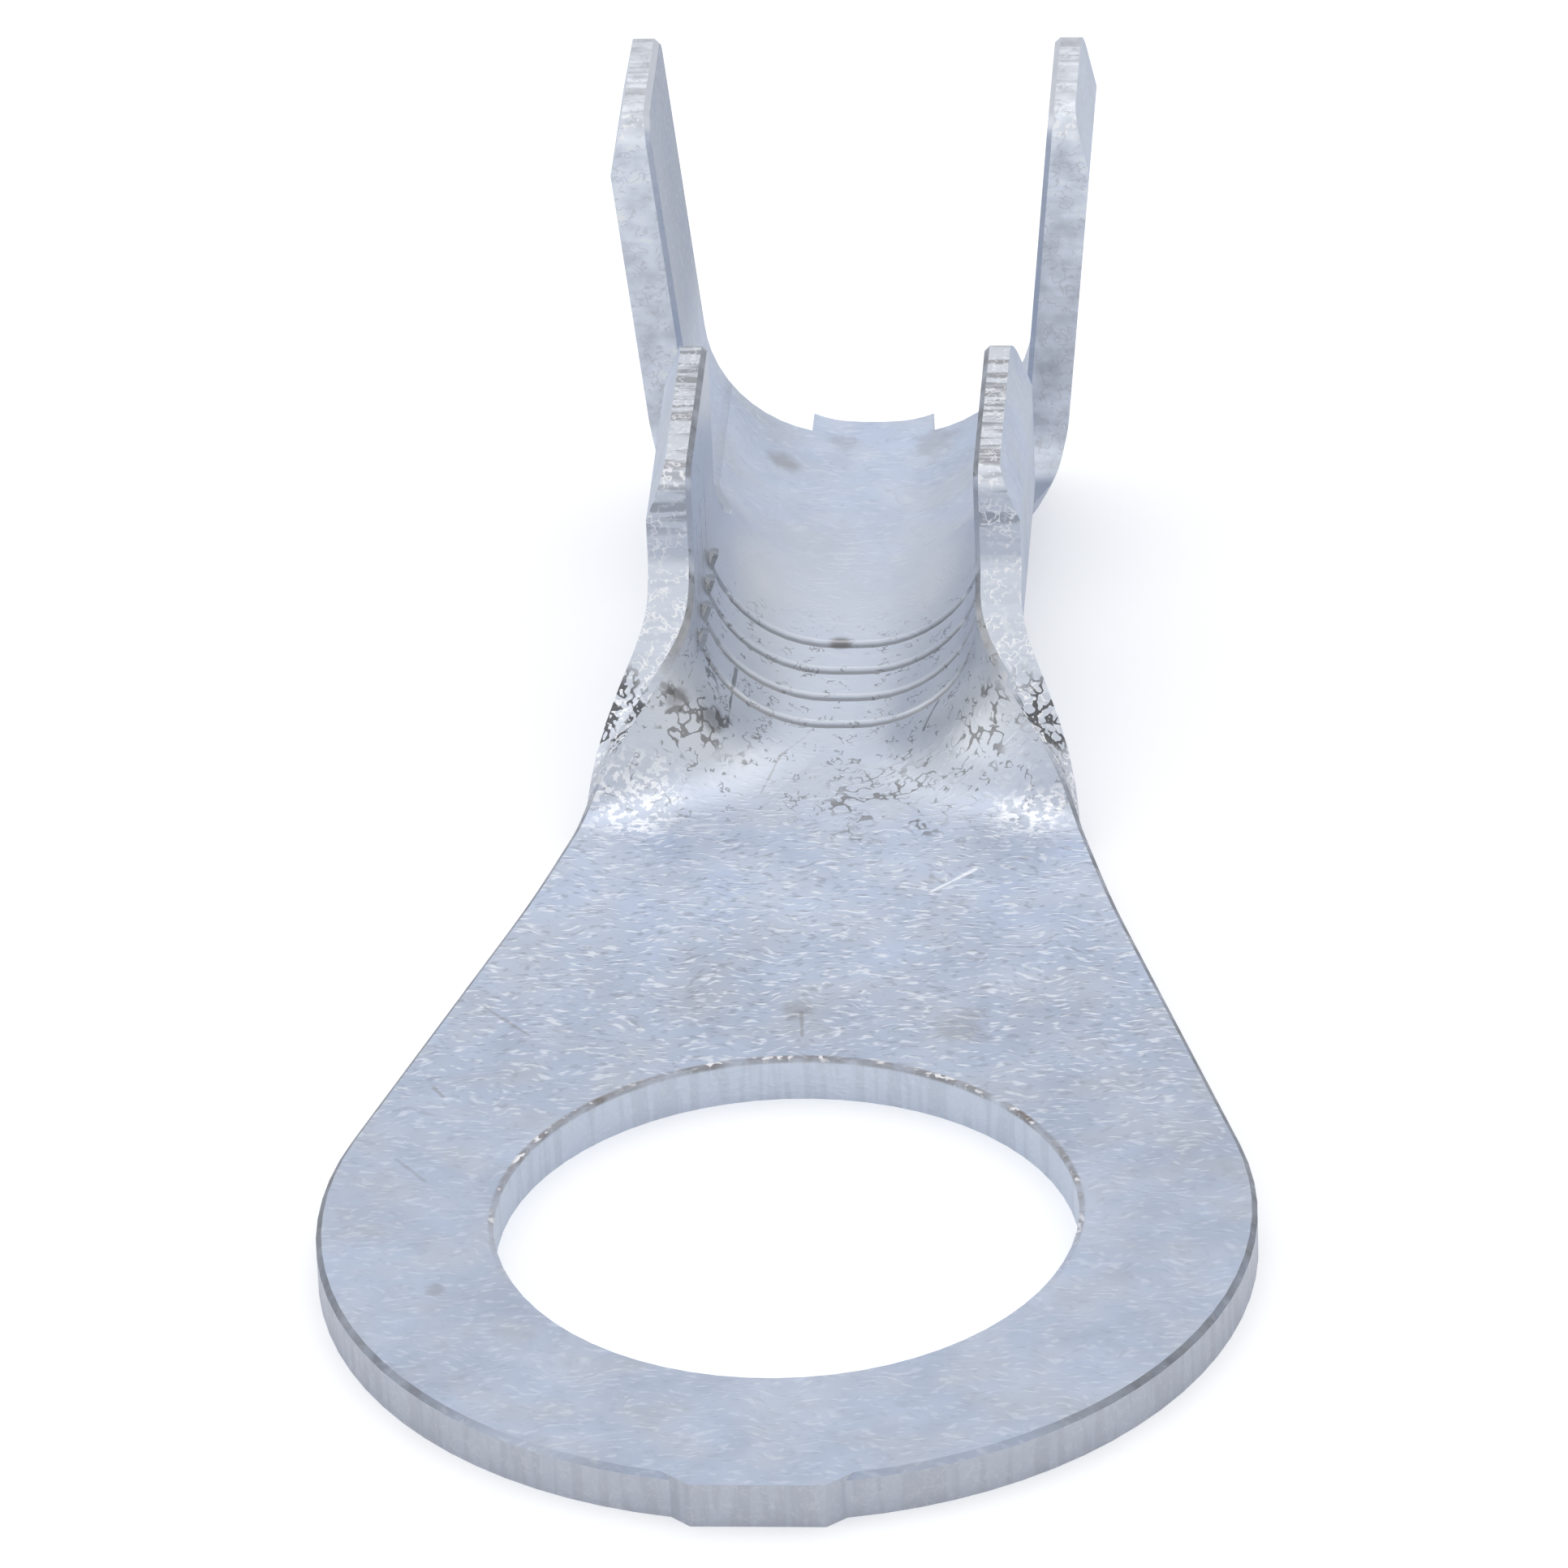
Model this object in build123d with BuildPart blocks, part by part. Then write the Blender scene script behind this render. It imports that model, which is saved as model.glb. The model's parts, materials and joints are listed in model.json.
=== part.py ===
"""Open-barrel ring terminal, blanked and folded from one piece of tin-plated sheet.

Millimetres. The origin is the centre of the stud hole on the underside of the ring.
+Y runs from the ring along the two crimp barrels, +Z is up out of the trough.
"""

from build123d import *
from math import atan, cos, pi, radians, sin, tan
import os

# Sheet, and the bevels that blanking leaves along its upper edges, slighter on the stud hole
sheet = 0.7
die_roll = 0.08
hole_roll = 0.03

# Ring
stud_hole_diameter = 8.4
ring_diameter = 13.5

# Tongue: each side leaves the ring as a tangent, eases over a large arc and runs straight up to the throat
tongue_taper = 17.5
throat_taper = 14.5
ease_radius = 30.0
throat_approach = 0.98

# Throat: the flat sheet curls up into the trough of the wire barrel. Its walls are what each side of the
# sheet has left beyond the bend, and the shares divide its first section into floor, bend and wall
throat_length = 3.2
throat_start_wall = 0.12
throat_end_wall = 0.6
throat_floor_share = 0.31
throat_bend_share = 0.46
throat_stations = 11

# Wire barrel
wire_bend_radius = 1.93
wire_floor = 0.2
wire_wing_setback = 0.2
wire_wing_length = 4.15
wire_wing_height = 5.08
wire_wing_foot_share = 0.76
wire_wing_nose_radius = 0.35
wire_wing_heel_radius = 0.35

# Open stretch between the two barrels
notch_length = 1.9
notch_height = 1.75
notch_radius = 0.7
transition_margin = 0.1
transition_stations = 5

# Insulation barrel
insulation_bend_radius = 2.15
insulation_floor = 0.44
insulation_lean = 5.5
insulation_wing_length = 2.9
insulation_wing_height = 7.87
insulation_wing_nose_radius = 0.5
insulation_wing_heel_radius = 0.35

# Coined tips: the outside of each wing is pressed to a wedge
coin_tip = 0.4
wire_coin_height = 0.85
insulation_coin_height = 1.0

# Serration lines pressed across the inside of the wire barrel
serration_count = 4
serration_pitch = 0.8
serration_setback = 0.1
serration_width = 0.2
serration_depth = 0.07
serration_turn = 70.0
run_out_radius = 0.6
run_out_turn = 40.0

# Stubs left where the carrier strips were cut off, the front one with flared sides
stub_width = 1.9
front_stub = 0.12
front_stub_root = 0.24
front_stub_flare = 50.0
rear_stub = 0.5
rear_stub_hollow = 0.17

# Derived places and sizes
ring_radius = ring_diameter / 2
steep = radians(tongue_taper)
gentle = radians(throat_taper)
wire_bend = wire_bend_radius * pi / 2
wire_sheet = wire_floor + wire_bend + sheet * pi / 4
throat_start_half_width = wire_sheet + throat_start_wall
throat_end_half_width = wire_sheet + throat_end_wall
throat_floor = throat_start_half_width * throat_floor_share
throat_bend = throat_start_half_width * throat_bend_share
tongue_run = (
    ring_radius * cos(steep)
    - ease_radius * (cos(gentle) - cos(steep))
    - throat_approach * sin(gentle)
    - throat_start_half_width
) / sin(steep)
throat_start = (
    ring_radius * sin(steep)
    + tongue_run * cos(steep)
    + ease_radius * (sin(steep) - sin(gentle))
    + throat_approach * cos(gentle)
)
throat_end = throat_start + throat_length
wire_wing_front = throat_end + wire_wing_setback
wire_wing_rear = wire_wing_front + wire_wing_length
insulation_wing_front = wire_wing_rear + notch_length
insulation_wing_rear = insulation_wing_front + insulation_wing_length
rear_end = insulation_wing_rear + rear_stub
insulation_turn = 90 - insulation_lean
insulation_bend = insulation_bend_radius * radians(insulation_turn)
transition_start = wire_wing_rear + transition_margin
transition_end = insulation_wing_front - transition_margin
stub_ceiling = 2 * sheet
along = (0, 1, 0)

# Walls are drawn this tall before the outline of the wings is cut, and cuts run this far past the sheet
tall_wall = insulation_wing_height
clear = sheet


def ease(share):
    """Share of the way from one form to the next, level and uncurved at both ends."""
    return share**3 * (10 - 15 * share + 6 * share**2)


def between(first, last, share):
    return first + (last - first) * ease(share)


def trough_section(y, floor, bend, turn, wall):
    """Cross-section of the folded sheet at y: flat floor, a bend on each side and straight walls.

    floor is half the flat, bend the length of the inside of the bend, turn its angle in degrees.
    """
    with BuildLine():
        inside_floor = Line((0, sheet), (floor, sheet))
        outside_floor = Line((0, 0), (floor, 0))
        if turn > 0:
            bend_radius = bend / radians(turn)
            inside_bend = JernArc(inside_floor @ 1, (1, 0), bend_radius, turn)
            outside_bend = JernArc(outside_floor @ 1, (1, 0), bend_radius + sheet, turn)
        else:
            inside_bend = Line(inside_floor @ 1, (floor + bend, sheet))
            outside_bend = Line(outside_floor @ 1, (floor + bend, 0))
        inside_wall = PolarLine(inside_bend @ 1, wall, direction=inside_bend % 1)
        outside_wall = PolarLine(outside_bend @ 1, wall, direction=outside_bend % 1)
        rim = Line(inside_wall @ 1, outside_wall @ 1)
    half = [inside_floor, inside_bend, inside_wall, rim, outside_wall, outside_bend, outside_floor]
    other_half = [edge.mirror(Plane.YZ) for edge in half]
    return Plane.XZ.offset(-y) * Face(Wire(half + other_half))


with BuildPart() as ring_terminal:
    # Flat ring and tongue
    with BuildSketch():
        with BuildLine():
            tangent_point = Vector(ring_radius * cos(steep), ring_radius * sin(steep))
            ThreePointArc((0, -ring_radius), (ring_radius, 0), tangent_point)
            tongue_side = PolarLine(tangent_point, tongue_run, 90 + tongue_taper)
            ease_arc = JernArc(
                tongue_side @ 1, tongue_side % 1, ease_radius, throat_taper - tongue_taper
            )
            PolarLine(ease_arc @ 1, throat_approach, 90 + throat_taper)
            Line((throat_start_half_width, throat_start), (0, throat_start))
            mirror(about=Plane.YZ)
        make_face()
    extrude(amount=sheet)

    # Throat: half the developed width leaves the tongue as a tangent and flares with the cube of the run
    throat_slope = tan(gentle)
    flare = (
        throat_end_half_width - throat_start_half_width + throat_slope * throat_length
    ) / throat_length**3
    for index in range(throat_stations):
        share = index / (throat_stations - 1)
        run = share * throat_length
        floor = between(throat_floor, wire_floor, share)
        bend = between(throat_bend, wire_bend, share)
        turn = between(0, 90, share)
        developed = throat_start_half_width - throat_slope * run + flare * run**3
        wall = developed - floor - bend - radians(turn) * sheet / 2
        add(trough_section(throat_start + run, floor, bend, turn, wall))
    loft()
    edge_height = sheet + wire_bend_radius + wall
    edge_slope = atan(3 * flare * throat_length**2 - throat_slope)
    foot_run = wire_wing_setback / cos(edge_slope)
    foot_radius = wire_wing_foot_share * foot_run / tan((pi / 2 - edge_slope) / 2)

    # Wire barrel, transition and insulation barrel, with walls still uncut
    wire_section = trough_section(throat_end, wire_floor, wire_bend, 90, tall_wall)
    extrude(wire_section, amount=transition_start - throat_end, dir=along)
    for index in range(transition_stations):
        share = index / (transition_stations - 1)
        add(
            trough_section(
                transition_start + share * (transition_end - transition_start),
                between(wire_floor, insulation_floor, share),
                between(wire_bend, insulation_bend, share),
                between(90, insulation_turn, share),
                tall_wall,
            )
        )
    loft()
    insulation_section = trough_section(
        transition_end, insulation_floor, insulation_bend, insulation_turn, tall_wall
    )
    extrude(
        insulation_section,
        amount=rear_end - transition_end,
        dir=along,
    )

    # Outline of the wings, cut from the side
    with BuildSketch(Plane.YZ):
        with BuildLine():
            wings = FilletPolyline(
                (throat_end, edge_height),
                (wire_wing_front, edge_height + foot_run * sin(edge_slope)),
                (wire_wing_front, wire_wing_height),
                (wire_wing_rear, wire_wing_height),
                (wire_wing_rear, notch_height),
                (insulation_wing_front, notch_height),
                (insulation_wing_front, insulation_wing_height),
                (insulation_wing_rear, insulation_wing_height),
                (insulation_wing_rear, stub_ceiling),
                radius=[
                    foot_radius,
                    wire_wing_nose_radius,
                    wire_wing_heel_radius,
                    notch_radius,
                    notch_radius,
                    insulation_wing_nose_radius,
                    insulation_wing_heel_radius,
                ],
            )
            Polyline(
                wings @ 1,
                (rear_end + clear, stub_ceiling),
                (rear_end + clear, insulation_wing_height + tall_wall),
                (throat_end, insulation_wing_height + tall_wall),
                wings @ 0,
            )
        make_face()
    extrude(amount=ring_radius, both=True, mode=Mode.SUBTRACT)

    # Rear stub: the floor behind the wings is cut back on both sides, and its cut end is hollow
    with BuildSketch():
        with Locations((0, insulation_wing_rear)):
            Rectangle(ring_diameter, rear_stub + clear, align=(Align.CENTER, Align.MIN))
            Rectangle(
                stub_width,
                rear_stub + clear,
                align=(Align.CENTER, Align.MIN),
                mode=Mode.SUBTRACT,
            )
        with BuildLine():
            cut_end = Line((-stub_width / 2, rear_end), (stub_width / 2, rear_end))
            ThreePointArc(cut_end @ 0, (0, rear_end - rear_stub_hollow), cut_end @ 1)
        make_face()
    extrude(amount=insulation_wing_height, mode=Mode.SUBTRACT)

    # Stud hole
    with BuildSketch():
        Circle(stud_hole_diameter / 2)
    extrude(amount=sheet, mode=Mode.SUBTRACT)

    # Die roll, on the hole and along the border of the upper skin: ring, throat, wings and notch
    # are one smooth chain, which the bevel follows from the front arc of the ring
    upper_arcs = (
        ring_terminal.edges().filter_by(GeomType.CIRCLE).filter_by_position(Axis.Z, sheet, sheet)
    )
    front_arc = upper_arcs.sort_by(Axis.Y)[0]
    hole_edge = upper_arcs.sort_by(SortBy.RADIUS)[0]
    chamfer(front_arc, length=die_roll)
    chamfer(hole_edge, length=hole_roll)

    # Coined wings: a wedge off the outside of each tip. The wire wings stand upright
    for front, rear, floor, bend_radius, lean, height, coin_height in (
        (
            wire_wing_front,
            wire_wing_rear,
            wire_floor,
            wire_bend_radius,
            0,
            wire_wing_height,
            wire_coin_height,
        ),
        (
            insulation_wing_front,
            insulation_wing_rear,
            insulation_floor,
            insulation_bend_radius,
            insulation_lean,
            insulation_wing_height,
            insulation_coin_height,
        ),
    ):
        axis_height = sheet + bend_radius
        wall_foot = floor + (bend_radius + sheet) * cos(radians(lean))
        foot_height = axis_height - (bend_radius + sheet) * sin(radians(lean))
        coin_foot = wall_foot + (height - coin_height - foot_height) * tan(radians(lean))
        wall_top = wall_foot + (height - foot_height) * tan(radians(lean))
        tip = wall_top - (sheet - coin_tip) / cos(radians(lean))
        with BuildSketch(Plane.XZ.offset(-front + clear)):
            with BuildLine():
                Polyline(
                    (coin_foot, height - coin_height),
                    (tip, height),
                    (tip, height + clear),
                    (wall_top + clear, height + clear),
                    (wall_top + clear, height - coin_height),
                    close=True,
                )
            make_face()
            mirror(about=Plane.YZ)
        extrude(amount=-(rear - front + 2 * clear), mode=Mode.SUBTRACT)

    # Serration lines: a groove follows floor and bend, then curls off the sheet, so that it runs out
    for index in range(serration_count):
        y = throat_end + serration_setback + index * serration_pitch
        with BuildLine(mode=Mode.PRIVATE):
            half_floor = Line((0, sheet), (wire_floor, sheet))
            half_bend = JernArc(half_floor @ 1, (1, 0), wire_bend_radius, serration_turn)
            run_out = JernArc(half_bend @ 1, half_bend % 1, run_out_radius, run_out_turn)
        half = [run_out, half_bend, half_floor]
        path = Plane.XZ.offset(-y) * Wire(half + [edge.mirror(Plane.YZ) for edge in half])
        with BuildSketch(Plane(path @ 0, x_dir=along, z_dir=path % 0)) as groove:
            with BuildLine():
                Polyline(
                    (-serration_width / 2, 0),
                    (0, -serration_depth),
                    (serration_width / 2, 0),
                    (serration_width / 2, serration_depth),
                    (-serration_width / 2, serration_depth),
                    close=True,
                )
            make_face()
        sweep(groove.sketch, path=path, mode=Mode.SUBTRACT)

    # Front stub of the carrier strip, whose sides flare into the ring
    front_stub_length = front_stub + front_stub_root
    root_width = stub_width + 2 * front_stub_length * tan(radians(front_stub_flare))
    with BuildSketch():
        with Locations((0, -ring_radius - front_stub)):
            Trapezoid(
                root_width,
                front_stub_length,
                90 - front_stub_flare,
                rotation=180,
                align=(Align.CENTER, Align.MAX),
            )
    extrude(amount=sheet)

ring_terminal.part.label = "ring_terminal"

os.makedirs("parts", exist_ok=True)
export_step(ring_terminal.part, "parts/ring_terminal.step")
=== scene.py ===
# %% [markdown]
# A ring terminal is one small piece of tin-plated sheet: a flat ring for a stud, a tongue that
# narrows, and two open barrels that are crimped on a wire. Its shape comes finished from the CAD
# frame, so this lesson is about its finish: how thin, soft, bent and sheared metal can be told
# apart by one material. The frame is loaded first, and everything else is placed around it.

# %% Load the frame
import json
import math

import bmesh
import bpy
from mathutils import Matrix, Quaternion, Vector

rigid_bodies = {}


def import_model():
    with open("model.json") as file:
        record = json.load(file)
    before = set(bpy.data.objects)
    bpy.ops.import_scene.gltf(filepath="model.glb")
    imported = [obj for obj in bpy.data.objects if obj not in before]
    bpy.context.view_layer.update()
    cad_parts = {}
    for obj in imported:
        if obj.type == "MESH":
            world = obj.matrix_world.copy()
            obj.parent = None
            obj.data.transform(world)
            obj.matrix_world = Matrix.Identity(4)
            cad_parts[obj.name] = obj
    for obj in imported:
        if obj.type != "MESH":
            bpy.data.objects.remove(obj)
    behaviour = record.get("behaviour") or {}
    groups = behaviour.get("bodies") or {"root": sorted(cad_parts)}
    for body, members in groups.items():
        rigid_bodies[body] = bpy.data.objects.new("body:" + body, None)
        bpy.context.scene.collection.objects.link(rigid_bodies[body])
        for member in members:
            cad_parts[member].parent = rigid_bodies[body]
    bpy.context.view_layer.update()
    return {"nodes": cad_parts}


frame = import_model()
terminal = frame["nodes"]["ring_terminal"]

# %% [markdown]
# The camera stands in front of the ring, about 31 degrees up, and looks along the barrels. A long
# lens keeps the ring and the wings at nearly the same scale, as close-up product pictures do. Its
# place could be found by eye, but here it is worked out from the ring, the hole and the barrels,
# whose sizes are known. It is turned a little to one side and rolled a little, which the eye reads
# as a part laid down by hand.

# %% The camera
camera_place = Vector((0.01302, -0.15561, 0.10192))
camera_aim = Vector((-0.00085, 0.01310, 0.0))
camera_roll = math.radians(-2.4)
lens_mm = 298.1

camera_data = bpy.data.cameras.new("close_up")
camera_data.lens = lens_mm
camera_data.sensor_width = 36
camera_data.clip_start = 0.01
camera = bpy.data.objects.new("close_up", camera_data)
bpy.context.scene.collection.objects.link(camera)
look = (camera_aim - camera_place).to_track_quat("-Z", "Y")
camera.rotation_mode = "QUATERNION"
camera.rotation_quaternion = look @ Quaternion((0, 0, 1), camera_roll)
camera.location = camera_place
bpy.context.scene.camera = camera
looks_down = math.degrees(math.asin((camera_place - camera_aim).normalized().z))
print("camera looks down by", round(looks_down, 1), "degrees")

# %% [markdown]
# Nearly everything from here on is made of shader nodes. A few small helpers keep the cells short:
# one adds a node, one feeds a socket from another socket or a plain value, and the rest each stand
# for one kind of node. They hand back output sockets, so that a pattern reads like a formula.

# %% Helpers for nodes


def add_node(tree, kind, **settings):
    """A new node of that kind, with its properties set."""
    made = tree.nodes.new(kind)
    for name, value in settings.items():
        setattr(made, name, value)
    return made


def feed(tree, source, socket):
    """Link a socket to another, or set a plain value on it."""
    if isinstance(source, bpy.types.NodeSocket):
        tree.links.new(source, socket)
    else:
        socket.default_value = source


def calc(tree, operation, *values, clamp=False):
    """Math on numbers or sockets."""
    made = add_node(tree, "ShaderNodeMath", operation=operation, use_clamp=clamp)
    for value, socket in zip(values, made.inputs):
        feed(tree, value, socket)
    return made.outputs["Value"]


def vector_calc(tree, operation, *values, out="Vector"):
    """Math on vectors. out is Value for a length, a distance or a dot product."""
    made = add_node(tree, "ShaderNodeVectorMath", operation=operation)
    for value, socket in zip(values, made.inputs):
        feed(tree, value, socket)
    return made.outputs[out]


def fade(tree, value, start, end, kind="SMOOTHSTEP"):
    """0 before start and 1 after end, with a soft step between. End may be the smaller of the two."""
    made = add_node(tree, "ShaderNodeMapRange", interpolation_type=kind)
    rising = start < end
    feed(tree, value, made.inputs["Value"])
    made.inputs["From Min"].default_value = start if rising else end
    made.inputs["From Max"].default_value = end if rising else start
    made.inputs["To Min"].default_value = 0.0 if rising else 1.0
    made.inputs["To Max"].default_value = 1.0 if rising else 0.0
    return made.outputs["Result"]


def noise(tree, place, scale, detail, out="Fac"):
    """Soft noise, about 0.5 on average. scale is waves per unit of place. out is Color for a vector."""
    made = add_node(tree, "ShaderNodeTexNoise")
    feed(tree, place, made.inputs["Vector"])
    feed(tree, scale, made.inputs["Scale"])
    made.inputs["Detail"].default_value = detail
    return made.outputs[out]


def stretched(tree, place, scale=(1, 1, 1), turn=0.0, shift=(0, 0, 0)):
    """The place turned about Z by some degrees, scaled per axis and shifted."""
    made = add_node(tree, "ShaderNodeMapping")
    feed(tree, place, made.inputs["Vector"])
    made.inputs["Scale"].default_value = scale
    made.inputs["Rotation"].default_value = (0, 0, math.radians(turn))
    made.inputs["Location"].default_value = shift
    return made.outputs["Vector"]


def mix_colour(tree, amount, first, second, kind="MIX"):
    """Blend of two colours."""
    made = add_node(tree, "ShaderNodeMix", data_type="RGBA", blend_type=kind)
    feed(tree, amount, made.inputs["Factor"])
    feed(tree, first, made.inputs["A"])
    feed(tree, second, made.inputs["B"])
    return made.outputs["Result"]


def split(tree, vector):
    """The X, Y and Z of a vector."""
    made = add_node(tree, "ShaderNodeSeparateXYZ")
    feed(tree, vector, made.inputs["Vector"])
    return made.outputs["X"], made.outputs["Y"], made.outputs["Z"]


def times(tree, *masks):
    """Masks multiplied, so that the result is 1 only where all of them are."""
    result = masks[0]
    for mask in masks[1:]:
        result = calc(tree, "MULTIPLY", result, mask)
    return result


def scaled(tree, mask, factor, base, clamp=False):
    """The mask times a factor, on top of a base."""
    return calc(tree, "MULTIPLY_ADD", mask, factor, base, clamp=clamp)


def inverse(tree, mask):
    """1 where the mask is 0, and 0 where it is 1."""
    return calc(tree, "SUBTRACT", 1.0, mask)


def between(tree, value, rise, fall):
    """1 inside a range. rise is where it fades in, fall where it fades out, each from and to."""
    return times(tree, fade(tree, value, *rise), fade(tree, value, *fall))


def painted(tree, under, mask, paint, strength=None):
    """The colour under, with paint over it where the mask is, at some strength."""
    amount = mask if strength is None else times(tree, mask, strength)
    return mix_colour(tree, amount, under, paint)


def spread_out(tree, step=220):
    """Set the nodes in columns, each left of those that it feeds."""
    column = {node: 0 for node in tree.nodes}
    for _ in range(len(tree.nodes)):
        moved = False
        for joint in tree.links:
            if column[joint.from_node] <= column[joint.to_node]:
                column[joint.from_node] = column[joint.to_node] + 1
                moved = True
        if not moved:
            break
    filled = {}
    for node, place in column.items():
        node.location = (-step * place, -step * filled.get(place, 0))
        filled[place] = filled.get(place, 0) + 1


def new_group(name, inputs, outputs):
    """An empty node group. inputs and outputs give each socket's name and type."""
    group = bpy.data.node_groups.new(name, "ShaderNodeTree")
    for label, kind in inputs.items():
        group.interface.new_socket(label, in_out="INPUT", socket_type="NodeSocket" + kind)
    for label, kind in outputs.items():
        group.interface.new_socket(label, in_out="OUTPUT", socket_type="NodeSocket" + kind)
    return group, group.nodes.new("NodeGroupInput").outputs, group.nodes.new("NodeGroupOutput").inputs


def placed(tree, group, **values):
    """A node group placed in a tree with its own values."""
    made = add_node(tree, "ShaderNodeGroup", node_tree=group)
    for name, value in values.items():
        feed(tree, value, made.inputs[name])
    return made.outputs


print("helpers ready")

# %% [markdown]
# Bare metal shows its surroundings more than its own colour, so the room is part of the finish. The
# world is a pale room, a little darker overhead on the camera's side, which gives the bends their
# soft grey. A picture of a studio would do too, but two colours mixed by direction need no file and
# are easy to turn. The camera itself sees plain white.

# %% The room
room_bright = (0.94, 0.95, 0.97, 1)
room_dark = (0.80, 0.82, 0.86, 1)
dark_from = Vector((0.0, -0.55, 0.83))
room_strength = 0.95
plain_white = (1, 1, 1, 1)

world = bpy.data.worlds.new("pale_room")
bpy.context.scene.world = world
world.use_nodes = True
room = world.node_tree
room.nodes.clear()
direction = add_node(room, "ShaderNodeTexCoord").outputs["Generated"]
facing_dark = vector_calc(room, "DOT_PRODUCT", direction, dark_from, out="Value")
walls = mix_colour(room, fade(room, facing_dark, 0.75, 1.0), room_bright, room_dark)
lit = add_node(room, "ShaderNodeBackground")
feed(room, walls, lit.inputs["Color"])
feed(room, room_strength, lit.inputs["Strength"])
seen = add_node(room, "ShaderNodeBackground")
feed(room, plain_white, seen.inputs["Color"])
choose = add_node(room, "ShaderNodeMixShader")
feed(room, add_node(room, "ShaderNodeLightPath").outputs["Is Camera Ray"], choose.inputs["Fac"])
feed(room, lit.outputs["Background"], choose.inputs[1])
feed(room, seen.outputs["Background"], choose.inputs[2])
feed(room, choose.outputs["Shader"], add_node(room, "ShaderNodeOutputWorld").inputs["Surface"])
spread_out(room)
print("room has", len(room.nodes), "nodes")

# %% [markdown]
# Two soft boxes light the metal: a wide one above and behind, which catches the corners where the
# sheet starts to curl, and a weak one from the left for the folds. Their size matters more than
# their power, because a satin surface draws a blurred picture of them.

# %% The soft boxes


def soft_box(name, place, size, power, aim=Vector((0, 0.010, 0))):
    """A square area lamp at place, turned to aim."""
    data = bpy.data.lights.new(name, "AREA")
    data.shape = "SQUARE"
    data.size = size
    data.energy = power
    lamp = bpy.data.objects.new(name, data)
    bpy.context.scene.collection.objects.link(lamp)
    lamp.location = place
    lamp.rotation_mode = "QUATERNION"
    lamp.rotation_quaternion = (aim - place).to_track_quat("-Z", "Y")
    return lamp


soft_box("overhead", Vector((0.02, 0.16, 0.30)), 0.30, 0.13)
soft_box("left_side", Vector((-0.30, 0.02, 0.16)), 0.24, 0.07)
for lamp in (thing for thing in bpy.data.objects if thing.type == "LIGHT"):
    print(lamp.name, "at", tuple(round(v, 2) for v in lamp.location), "power", round(lamp.data.energy, 2))

# %% [markdown]
# The floor is a plain white sheet that the part lies on, and so large that it has no edge in the
# picture. It is lifted a little towards white for the camera alone, so that the background is as
# pale as in a catalogue and the part keeps its soft shadow.

# %% The floor
floor_reach = 1.0
paper_white = (0.9, 0.9, 0.9, 1)
paper_lift = 0.25

floor_mesh = bpy.data.meshes.new("floor")
paper_sheet = bmesh.new()
bmesh.ops.create_grid(paper_sheet, x_segments=1, y_segments=1, size=floor_reach)
paper_sheet.to_mesh(floor_mesh)
paper_sheet.free()
floor = bpy.data.objects.new("floor", floor_mesh)
bpy.context.scene.collection.objects.link(floor)
paper = bpy.data.materials.new("white_paper")
paper.use_nodes = True
paper_tree = paper.node_tree
paper_shader = paper_tree.nodes["Principled BSDF"]
feed(paper_tree, paper_white, paper_shader.inputs["Base Color"])
feed(paper_tree, 0.9, paper_shader.inputs["Roughness"])
feed(paper_tree, 0.1, paper_shader.inputs["Specular IOR Level"])
to_camera = add_node(paper_tree, "ShaderNodeLightPath").outputs["Is Camera Ray"]
feed(paper_tree, times(paper_tree, to_camera, paper_lift), paper_shader.inputs["Emission Strength"])
feed(paper_tree, plain_white, paper_shader.inputs["Emission Color"])
spread_out(paper_tree)
floor_mesh.materials.append(paper)
print("floor at height 0,", tuple(round(v, 2) for v in floor.dimensions), "m")

# %% [markdown]
# The tin coat carries fine strokes from rolling and handling: light and dark dashes about a quarter
# of a millimetre long, mostly across the sheet. An image of scratches would stretch over the folds.
# Noise that is squeezed along one axis gives dashes everywhere, and a warp keeps them from looking
# combed.

# %% A group for strokes
strokes, given, give = new_group(
    "rolling_strokes",
    {"Place": "Vector", "Size": "Float"},
    {"Light": "Float", "Dark": "Float"},
)
warp = noise(strokes, given["Place"], 1.6, 0.0, out="Color")
bent = vector_calc(strokes, "MULTIPLY_ADD", warp, (0.0, 0.45, 0.45), given["Place"])
fine = calc(strokes, "DIVIDE", 4.2, given["Size"])
light_place = stretched(strokes, bent, (0.42, 1.15, 1.0), turn=10)
dark_place = stretched(strokes, bent, (0.55, 1.1, 1.0), turn=-24, shift=(7, 3, 5))
light_noise = noise(strokes, light_place, fine, 1.0)
dark_noise = noise(strokes, dark_place, fine, 1.0)
feed(strokes, fade(strokes, light_noise, 0.53, 0.72), give["Light"])
feed(strokes, fade(strokes, dark_noise, 0.54, 0.74), give["Dark"])
spread_out(strokes)
print("strokes:", len(strokes.nodes), "nodes")

# %% [markdown]
# The painted highlight where the sheet starts to curl is broken into bright grains, and the sheared
# edges get bright grains in the same way. A Voronoi pattern would give neat round cells. Noise that
# is cut at a level gives short curly blobs instead, as the metal has, and the level sets how many
# there are.

# %% A group for grains
grains, given, give = new_group(
    "bright_grains",
    {"Place": "Vector", "Fineness": "Float", "Level": "Float"},
    {"Mask": "Float"},
)
grain_noise = noise(grains, given["Place"], given["Fineness"], 2.0)
over = calc(grains, "SUBTRACT", grain_noise, given["Level"])
feed(grains, fade(grains, over, 0.0, 0.07), give["Mask"])
spread_out(grains)
print("grains:", len(grains.nodes), "nodes")

# %% [markdown]
# The forming tools scuff the throat: dark, curly marks in clusters, and loose flecks around them.
# The line where a noise crosses its middle value is such a curl, and a second noise breaks it into
# short marks.

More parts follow.
